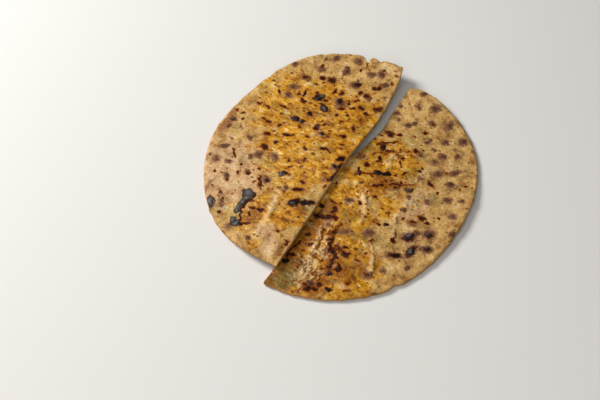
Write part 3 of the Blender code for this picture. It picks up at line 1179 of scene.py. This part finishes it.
            (-61.8, 45.8, 1.9, 1.5, 0), (-66.4, 46, 1.6, 1.5, 0), (-70, 45.3, 1.6, 1.2, 0),
            (-77.2, 43.6, 1.9, 1.2, 0), (-79.8, 40.8, 2.1, 1.5, 120), (-70.4, 65.4, 2.3, 2.1, 37),
            (1.6, 89.9, 0.9, 1.2, 0),
        ),
    },
    washes={
        Look.PALE: (
            Bell(-54, 19, 12, 6, 0.8), Bell(-17, 50, 8, 10, 0.5), Bell(-48, 74, 34, 24, 1.3),
            Bell(-87, 12, 12, 6, 0.9), Bell(-74, 22, 8, 5, 1.5), Bell(-21, 14, 8, 9, 0.5),
            Bell(-52, 52, 14, 12, 0.6),
        ),
        Look.GHEE: (
            Bell(4, 14, 16, 14, 0.6), Bell(26, 34, 38, 36, 1.3), Bell(40, 74, 26, 18, 0.5),
            Bell(14, 6, 40, 10, 0.5), Bell(-66, 33.5, 16, 7, 1.7), Bell(-63, 12, 8, 10, 0.9),
            Bell(-14, 32, 24, 24, 0.8), Bell(-45, 20, 16, 10, 0.6), Bell(-62, 10, 8, 12, 0.6),
            Bell(-91, 21, 8, 5, 0.9),
        ),
        Look.AMBER: (
            Bell(27, 24, 20, 13, 0.48), Bell(-68, 34, 12, 4, 0.9), Bell(-57, 40, 6, 3, 0.8),
            Bell(-74, 29, 7, 3, 0.7), Bell(-64, 15, 5, 8, 0.5), Bell(-75, 8, 8, 4, 0.6),
            Bell(-52, 7, 5, 5, 0.7), Bell(-95, 20, 4, 9, 0.7), Bell(-86, 3, 10, 3, 0.6),
            Bell(37, 6, 5, 4, 0.7), Bell(20, 6, 32, 8, 0.2), Bell(20, 42, 16, 10, 0.35),
            Bell(46, 46, 8, 16, 0.35),
        ),
        Look.BUTTER: (Bell(-76, 15, 16, 9, 0.3),),
        Look.TOAST: (Bell(-2, 92, 13, 3.4, 1.4), Bell(-60, 74, 8, 3, 0.8)),
        Look.HERB: (
            Bell(34, 32, 14, 8, 0.5), Bell(50, 46, 8, 6, 0.5), Bell(64, 24, 10, 6, 0.5),
            Bell(10, 62, 12, 8, 0.4), Bell(-40, 26, 9, 6, 0.4),
        ),
    },
)

RIGHT = ChapatiHalf(
    name="buttered_right_half",
    node="right_half",
    side=Side.RIGHT,
    middle=(0.5 * MM, -9.5 * MM),
    cut_direction=math.radians(58.7),
    outline=(94.4, 0.7, 6.5, 0.3, -0.7),
    seed=37.0,
    cut_bends=(CutBend(-20, 36, -5.0), CutBend(16, 12, -2.2), CutBend(52, 14, 1.8)),
    lifts=(
        Bell(10, 0, 48, 55, 3.5), Bell(20, 95, 45, 18, 2.7), Bell(104, 14, 24, 30, 4.4),
        Bell(-55, 38, 22, 15, 1.4),
    ),
    notches=(Notch(0, 2.2, 3.2), Notch(129, 1.6, 1.4)),
    folds=(
        Fold(0.9, 1.8, ((-5, 20), (-12, 24.5), (-18, 27.5), (-26, 29.5))),
        Fold(1.0, 1.8, ((-35, 41.5), (-47, 49.5), (-59, 55.5))),
        Fold(0.8, 2.2, ((2, 48), (-12, 47), (-28, 53))),
        Fold(0.9, 1.8, ((-42, 8.5), (-50, 11.5), (-57, 13.5))),
        Fold(0.7, 2.5, ((-62, 14), (-72, 17), (-88, 14))),
        Fold(0.6, 1.2, ((37.5, 13.5), (45, 16.3))),
        Fold(0.6, 1.2, ((25.3, 17.4), (34.4, 20.7), (41.2, 26.6))),
        Fold(0.5, 1.2, ((18.2, 30.8), (20.8, 44.2))),
        Fold(-0.6, 0.8, ((-33.5, 38.5), (-43.5, 46.3))),
    ),
    marks={
        Look.SOFT: (
            *scorches(
                (89.5, 25, 3.0, 1.1, 20), (97, 11.5, 1.8, 1.3, 60), (81, 40, 2.5, 1.6, 10),
                (73, 54.7, 2.6, 1.4, 0), (70, 18, 1.7, 1.2, 60), (66.8, 15.3, 2.1, 1.2, 30),
                (62.3, 34.5, 1.4), (44.5, 62.5, 2.2, 1.7, 33), (33.7, 65, 2.1, 1.4, 60),
                (-1.7, 61.7, 2.0, 1.1), (-12, 71.5, 3.4, 1.2, 60), (-23, 76.7, 2.8, 1.2, 30),
                (-20, 61.7, 3.8, 1.2, 50), (-29.7, 68, 2.8, 2.0, 5), (-38, 60, 2.2, 2.2, 65),
                (-60, 53.5, 2.5, 1.2, 60), (-55.5, 23.5, 2.6, 1.3, 60), (-85, 25.5, 2.5, 1.5, 60),
            ),
            *scorches(
                (66, 45, 2.4, 1.2, 30), (59.3, 34, 1.6), (73, 3, 1.7, 1.2), (58.7, 57.5, 1.9, 1.2, 40),
                (53.3, 49, 2.5, 1.2, 80), (37.5, 53, 2.8, 1.2, 30), (20, 69, 2.5, 1.3, 70),
                (24, 77.5, 1.8, 1.2), (10.8, 58.7, 1.2, 1.3), (-4, 84.3, 2.0, 1.2),
                (-8.5, 58, 2.5, 1.3, 60), (-14.5, 64, 1.9, 1.3, 50), (-42, 72, 2.0, 1.2),
                (23, 2, 2.5, 1.2, 60), (12.5, 35, 2.2, 1.7, 130), (13, 42, 1.7, 1.2),
                (-33, 9.5, 3.2, 1.2, 50), (-15, 14, 2.4, 1.3, 50), (76, 28.7, 2.3, 1.2),
                faint=0.2,
            ),
            *scorches(
                (85, 14, 2.7, 1.2), (79.5, 2, 1.8), (67.5, 6.5, 1.6), (56, 41, 2.0),
                (46, 46.5, 2.6, 1.2), (46, 35, 2.1, 1.2, 60), (27, 45, 2.0, 1.3, 50),
                (12.5, 58.2, 2.4, 1.2), (9.5, 78.5, 2.7, 1.2), (9, 46, 1.8), (-3, 48, 1.8, 1.4, 60),
                (-24.5, 72, 2.0), (-52, 60, 2.2), (-31, 38, 3.2, 1.3, 50), (-39, 12, 1.5, 1.4),
                (-38, 24, 3.0, 1.8, 60),
                faint=0.5,
            ),
        ),
        Look.BROWN: (
            *scorches(
                (52.5, 8, 2.4, 1.3, 100), (55, 14.5, 1.1, 1.9, 60), (48.3, 31, 1.5, 1.2),
                (51.3, 35, 0.8), (36.5, 26.5, 0.8, 1.3), (66.5, 29, 1.3, 1.2, 40),
                (26, 15, 1.0, 1.4, 60), (24.4, 14, 0.9), (27, 53, 1.3, 2.1, 118),
                (18.5, 9, 1.6, 1.2, 60), (-7, -1, 1.1), (-3.5, 27, 1.0, 1.3), (-13, 21, 1.0, 1.4, 60),
                (-25, 9, 1.4, 1.4, 40), (-28, 10, 1.4, 1.5, 60), (-33.5, 9, 2.0, 1.4, 60),
                (-42, 19, 1.2, 1.4, 50), (-51.7, 4.7, 1.6, 1.3, 60), (-57.7, 10, 1.1, 1.4, 40),
                (-53.7, 34, 1.3, 1.5, 60), (-49.3, 31, 1.2, 1.4, 60), (-22, 39.5, 1.1, 1.3),
                (-28.5, 54.5, 1.0, 1.4, 100), (-55.8, 24, 1.5, 1.5, 60), (-67.5, 29.5, 1.5, 1.4, 50),
                (-66, 35.5, 1.6, 1.3, 60), (-71, 4.5, 1.5, 1.3, 70), (-88.7, 26.3, 1.8, 1.3, 50),
                (-86.7, 30, 1.4, 1.3), (-86.7, 23, 1.2, 1.3), (-82, 31, 1.6, 1.3, 60),
                (-60.5, 53, 1.3, 1.3), (37.5, 74.3, 1.1), (33, 71.8, 0.8), (22.3, 61.3, 0.8),
                (3.5, 71.3, 1.0, 1.2), (-3.7, 66.7, 0.9, 1.3), (-9, 51.3, 0.9), (15, 30, 0.9, 1.3, 59),
                (11, 35, 1.0, 1.4, 40), (16.8, 36, 0.9, 1.3, 59), (13, 26.5, 0.9, 1.2, 80),
                (7.5, 30, 0.7), (-2, 61.5, 1.7, 1.1), (-8, 58, 1.4, 1.6, 70),
            ),
            *scorches(
                (48, 4, 1.2, 1.3), (47.5, 1.5, 1.1), (43, 1.5, 1.2, 1.3), (-2, 12.5, 0.9),
                (-2, 21, 0.9), (-8.5, 35.6, 1.0, 1.7, 120), (-44.5, 16, 1.6, 1.5, 60),
                (-36, 42, 1.3, 1.4, 60), (-64.5, 8, 1.2, 1.4, 50), (-72, 46, 1.6, 1.3, 60),
                (-54, 43, 1.4, 1.4, 60), (41, 58, 1.2), (84.3, 12.3, 0.8), (82.7, 15, 0.8),
                (75.7, 30, 1.1, 1.3), (-78, 47, 1.0, 1.5, 60), (-66, 23, 0.9, 1.6, 20),
                (-70.5, 26.5, 1.1, 1.6, 40), (-75.5, 24.5, 0.8, 1.5, 60), (-79, 28.5, 1.1, 1.6, 10),
                (30, 8, 1.0, 1.4, 60), (44, 27, 0.8, 1.6, 50), (11, 30.5, 0.9, 1.8, 59),
                (14.8, 35.5, 0.9, 1.7, 59),
                faint=0.6,
            ),
            *scorches(
                (34, 15, 1.7, 1.2, 50), (38, 37, 1.6, 1.3, 60), (10, 25, 2.0, 1.6, 90),
                (-24, 21, 1.2, 1.4), (-21, 36, 1.4, 1.4, 60), (-66, 3.5, 1.3, 1.5, 50),
                (59.3, 24, 1.1, 2.0, 70), (-53, 28, 2.0, 2.2, 110), (-68, 33, 1.8, 2.0, 90),
                (3, 31, 1.0, 1.7, 60), (-6, 41, 0.9, 1.8, 60), (3.5, 22, 1.4, 1.6, 59),
                (8.5, 27, 1.6, 1.7, 59), (12.5, 32.5, 1.7, 1.7, 59), (17, 39, 1.6, 1.8, 59),
                (14.5, 31, 1.0, 1.6, 59), (10, 25, 2.4, 1.5, 59), (13.5, 34.5, 2.2, 1.4, 59),
                (4.5, 23, 2.0, 1.5, 59),
                faint=1.0,
            ),
            Trail(1.0, ((29.9, 8.1), (36, 16), (42.6, 24.5)), 0.9),
            Trail(1.0, ((39.2, 5.7), (44, 11), (48.2, 16.1)), 0.5),
            Trail(1.2, ((6.8, 6), (10.5, 12), (14.4, 18)), 0.6),
            Trail(2.7, ((2.6, 19.2), (11.8, 31.8), (20, 44)), 1.1),
            Trail(1.3, ((4, 21), (8, 27)), 0.4),
            Trail(1.2, ((11, 30.5), (14.5, 35.5)), 0.5),
            Trail(1.8, ((-36.6, 1.3), (-33, 8), (-31.7, 12.9)), 0.3),
            Trail(0.9, ((35.5, 12), (39, 18)), 0.4),
            Trail(0.9, ((33, 27), (29.5, 29)), 0.2),
            Trail(0.9, ((26.5, 34.5), (24, 34))),
            Trail(0.9, ((22, 30), (20, 30)), 0.4),
            Trail(0.9, ((12, 14), (11, 17)), 0.8),
            Trail(0.9, ((-21, 3), (-21, 8)), 0.2),
            Trail(0.9, ((-22, 53), (-30, 55.3)), 0.9),
            Trail(0.9, ((-42, 11), (-50, 14), (-57.5, 15.8)), 0.9),
            Trail(2.2, ((-34, 19), (-42, 18), (-48, 19.5)), 0.9),
            Trail(1.7, ((-48, 19.5), (-55, 23.5), (-58, 28)), 0.3),
            Trail(2.6, ((-53, 26), (-53, 35)), 1.0),
            Trail(2.0, ((-60, 29), (-68, 30), (-73, 32)), 0.5),
            Trail(1.7, ((-63, 34), (-68, 36)), 0.4),
            Trail(1.0, ((-50.5, 25), (-53, 31), (-56, 36)), 0.6),
            # Painted shade along the crack from (-33.5, 38.5) to (-43.5, 46.3).
            Trail(0.9, ((-34, 39.5), (-40, 44), (-45, 47)), 1.4),
            # The painted shadow of the left half's edge, along the cut.
            Trail(0.9, ((-60, 3), (-68, 1.5), (-76, 2)), 0.2),
        ),
        Look.CHAR: (
            *scorches(
                (51.6, 9, 1.4, 1.3, 100), (38.5, 10.2, 1.7, 2.2, 158), (43, 21.5, 0.8), (36, 42, 1.0),
                (33, 42, 1.0), (28.5, 13.5, 1.3, 1.2), (18.5, 24.5, 1.8, 1.2, 60),
                (16, 18.5, 1.8, 1.2, 40), (-19.5, 10, 0.8), (-27.5, 1, 1.7, 1.2),
                (-37, 2.2, 1.5, 1.6, 90), (-48, 19.5, 1.6, 1.4, 60), (-59, 30.5, 1.1, 1.3),
                (-19.5, 44, 1.2, 1.3, 60), (-72.5, 32, 1.4, 1.3, 60), (-77.7, 3.3, 2.0, 1.2, 60),
                (-82.7, 37.5, 1.5, 1.2, 60), (-20, 61.7, 2.7, 1.2, 50), (-29.7, 68, 2.1, 2.2, 5),
                (-38, 60, 1.8, 2.2, 65), (-12.4, 71.8, 1.9, 1.3, 60), (-22.8, 76.4, 1.7, 1.2, 30),
            ),
            Trail(1.5, ((15, 18), (17, 22.5), (19, 26.5))),
            Trail(0.9, ((12.5, 5.5), (10, 8), (7.5, 9.5))),
        ),
        # Grey ash, and where one sits on a charred blister, a painted bluish sheen on its black.
        Look.SLATE: scorches(
            (15.5, 44.3, 1.4, 1.2, 60), (2.5, 14, 1.1, 1.4, 50), (-19.4, 61.2, 1.9, 1.3, 50),
            (-30.2, 68.1, 1.6, 1.8, 5), (-12.3, 71.6, 1.3, 1.3, 60), (-22.6, 76.2, 1.0, 1.3, 30),
        ),
    },
    washes={
        Look.PALE: (
            Bell(5, 53, 19, 11, 0.7), Bell(8, 49, 14, 4, 0.8), Bell(42, 29, 9, 8, 0.7),
            Bell(-14, 26, 16, 7, 0.6), Bell(-48, 47, 16, 4, 0.5),
        ),
        Look.GHEE: (
            Bell(32, 21, 16, 19, 1.4), Bell(2, 14, 20, 18, 0.9), Bell(-72, 46, 26, 16, 1.3),
            Bell(-64, 30, 18, 12, 1.4), Bell(-80, 10, 40, 18, 2.0), Bell(-30, 8, 18, 12, 1.4),
            Bell(-34, 28, 12, 9, 0.9), Bell(8, 50, 22, 12, 0.4), Bell(-9, 38, 13, 9, 0.5),
        ),
        # The bells from u -58 to the near tip are partly painted shade over the near end, besides
        # browned ghee; the one at (-72, 2) is also the painted shadow of the left half's edge along the
        # cut.
        Look.AMBER: (
            Bell(-33, 5, 14, 6, 0.8), Bell(-60, 28, 14, 5, 0.7), Bell(-65, 35, 9, 6, 0.6),
            Bell(-72, 2, 22, 5, 0.9), Bell(-74, 14, 32, 15, 0.5), Bell(-90, 8, 13, 9, 0.5),
            Bell(-85, 28, 8, 6, 0.8), Bell(-88, 40, 10, 10, 0.5), Bell(-58, 48, 16, 12, 0.65),
            Bell(-48, 5, 8, 5, 0.8), Bell(42, 12, 5, 5, 0.3), Bell(11, 28, 7, 9, 1.2),
            Bell(-20, 37, 3, 3, 0.8), Bell(-7, 35, 3, 3, 0.7),
        ),
        Look.BUTTER: (
            Bell(39, 25, 9, 9, 0.55), Bell(29, 18, 16, 13, 0.4), Bell(-7, 21, 12, 9, 0.75),
            Bell(8, 50, 15, 9, 0.5), Bell(-48, 32, 28, 22, 0.42), Bell(-43, 13, 10, 4, 0.9),
            Bell(-62, 17, 13, 6, 0.9), Bell(-80, 20, 13, 7, 0.9),
        ),
        Look.TOAST: (),
        # The bell at (-88, 9) is partly painted shade at the near corner.
        Look.HERB: (
            Bell(-31, 37, 6, 6, 0.9), Bell(-26, 21, 8, 6, 1.0), Bell(-6, 28, 8, 5, 0.6),
            Bell(-38, 26, 7, 8, 0.6), Bell(-60, 37, 7, 3, 0.6), Bell(-88, 9, 14, 9, 0.9),
        ),
    },
)


@dataclass(frozen=True)
class Softbox:
    """A square soft light that faces the bread."""

    name: str
    place: tuple[float, float, float]
    side: float
    power: float

    def build(self) -> None:
        """Hangs the light in its place."""
        data = bpy.data.lights.new(self.name, "AREA")
        data.size = self.side
        data.energy = self.power
        light = bpy.data.objects.new(self.name, data)
        light.location = self.place
        light.rotation_euler = Vector(self.place).to_track_quat("Z", "Y").to_euler()
        bpy.context.scene.collection.objects.link(light)


@dataclass(frozen=True)
class Studio:
    """A pale floor, soft light from the left and behind, and the camera."""

    lights: tuple[Softbox, ...] = (
        Softbox("key_softbox", (-0.95, 0.5, 0.85), 0.5, 21.0),
        Softbox("fill_softbox", (-0.35, -0.95, 1.1), 1.4, 12.0),
    )
    glow: str = "#F4F2EF"
    glow_strength: float = 0.12
    paper: str = "#D8D5D0"
    paper_roughness: float = 0.9
    floor_size: float = 3.0
    floor_gap: float = 0.05 * MM  # keeps the floor clear of the bread's lower face
    aim: tuple[float, float, float] = (-27.9 * MM, -24.9 * MM, 0.0)
    distance: float = 780.9 * MM
    elevation: float = 51.0
    lens: float = 70.0

    def build(self) -> None:
        """Sets up the floor, the lights, the glow all round and the camera."""
        self.build_floor()
        for light in self.lights:
            light.build()
        world = bpy.data.worlds.new("studio")
        world.use_nodes = True
        glow = world.node_tree.nodes["Background"].inputs
        glow["Color"].default_value = linear(self.glow)
        glow["Strength"].default_value = self.glow_strength
        bpy.context.scene.world = world
        bpy.context.scene.view_settings.view_transform = "Standard"
        self.build_camera()

    def build_camera(self) -> None:
        """Sets up the camera, which looks down at the bread from the near side."""
        camera = bpy.data.cameras.new("camera")
        camera.lens = self.lens
        viewer = bpy.data.objects.new("camera", camera)
        tilt = math.radians(self.elevation)
        back = Vector((0.0, -math.cos(tilt), math.sin(tilt)))
        viewer.location = Vector(self.aim) + self.distance * back
        viewer.rotation_euler = (math.pi / 2 - tilt, 0.0, 0.0)
        bpy.context.scene.collection.objects.link(viewer)
        bpy.context.scene.camera = viewer

    def build_floor(self) -> None:
        """Lays a pale, matt floor under the bread."""
        mesh = bmesh.new()
        below = Matrix.Translation((0.0, 0.0, -self.floor_gap))
        bmesh.ops.create_grid(mesh, x_segments=1, y_segments=1, size=self.floor_size, matrix=below)
        data = bpy.data.meshes.new("floor")
        mesh.to_mesh(data)
        mesh.free()
        graph = Graph("pale_studio_paper")
        surface = {"Base Color": linear(self.paper), "Roughness": self.paper_roughness}
        graph.link(graph.shader, surface)
        data.materials.append(graph.material)
        floor = bpy.data.objects.new("floor", data)
        bpy.context.scene.collection.objects.link(floor)


def main() -> None:
    """Builds and dresses the chapati and sets the studio round it."""
    logging.basicConfig(level=logging.INFO)
    crust = GriddledMillet().material()
    for half in (LEFT, RIGHT):
        piece = half.build()
        half.dress(piece, crust)
        log.info("%s: %d vertices", half.name, len(piece.data.vertices))
    Studio().build()


if __name__ == "__main__":
    main()
